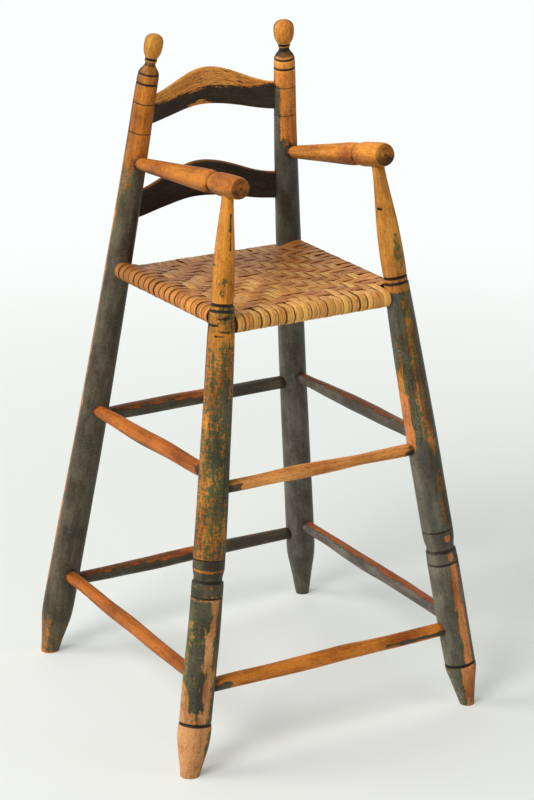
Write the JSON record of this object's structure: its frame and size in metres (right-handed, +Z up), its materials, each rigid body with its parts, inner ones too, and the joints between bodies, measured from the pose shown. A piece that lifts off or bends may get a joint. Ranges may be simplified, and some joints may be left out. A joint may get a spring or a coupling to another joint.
{
  "type": "high chair",
  "caption": "Tall child's chair with splayed turned posts, bowed back slats, knobbed turned arms, round stretchers and a flat seat woven from wood splints.",
  "frame": {"origin": "on the floor at the middle of the four feet", "axes": "+Z up, -Y the way the sitter faces, +X to the sitter's left"},
  "size_m": [0.4418, 0.4537, 0.8802],
  "materials": {
    "bare_wood": "satin, worn smooth, amber",
    "worn_paint": "satin, old dark paint worn through to amber wood",
    "splint": "satin, thin woven strips"
  },
  "bodies": {
    "root": {"arm_left": "bare_wood", "arm_right": "bare_wood", "front_post_left": "worn_paint", "front_post_right": "worn_paint", "front_stretcher_lower": "bare_wood", "front_stretcher_upper": "bare_wood", "lower_slat": "worn_paint", "rear_post_left": "worn_paint", "rear_post_right": "worn_paint", "rear_stretcher_lower": "worn_paint", "rear_stretcher_upper": "worn_paint", "seat_rung_front": "bare_wood", "seat_rung_left": "bare_wood", "seat_rung_rear": "bare_wood", "seat_rung_right": "bare_wood", "seat_warp_splints": "splint", "seat_weft_splints": "splint", "side_stretcher_lower_left": "worn_paint", "side_stretcher_lower_right": "worn_paint", "side_stretcher_upper_left": "worn_paint", "side_stretcher_upper_right": "worn_paint", "top_slat": "worn_paint"}
  },
  "joints": []
}
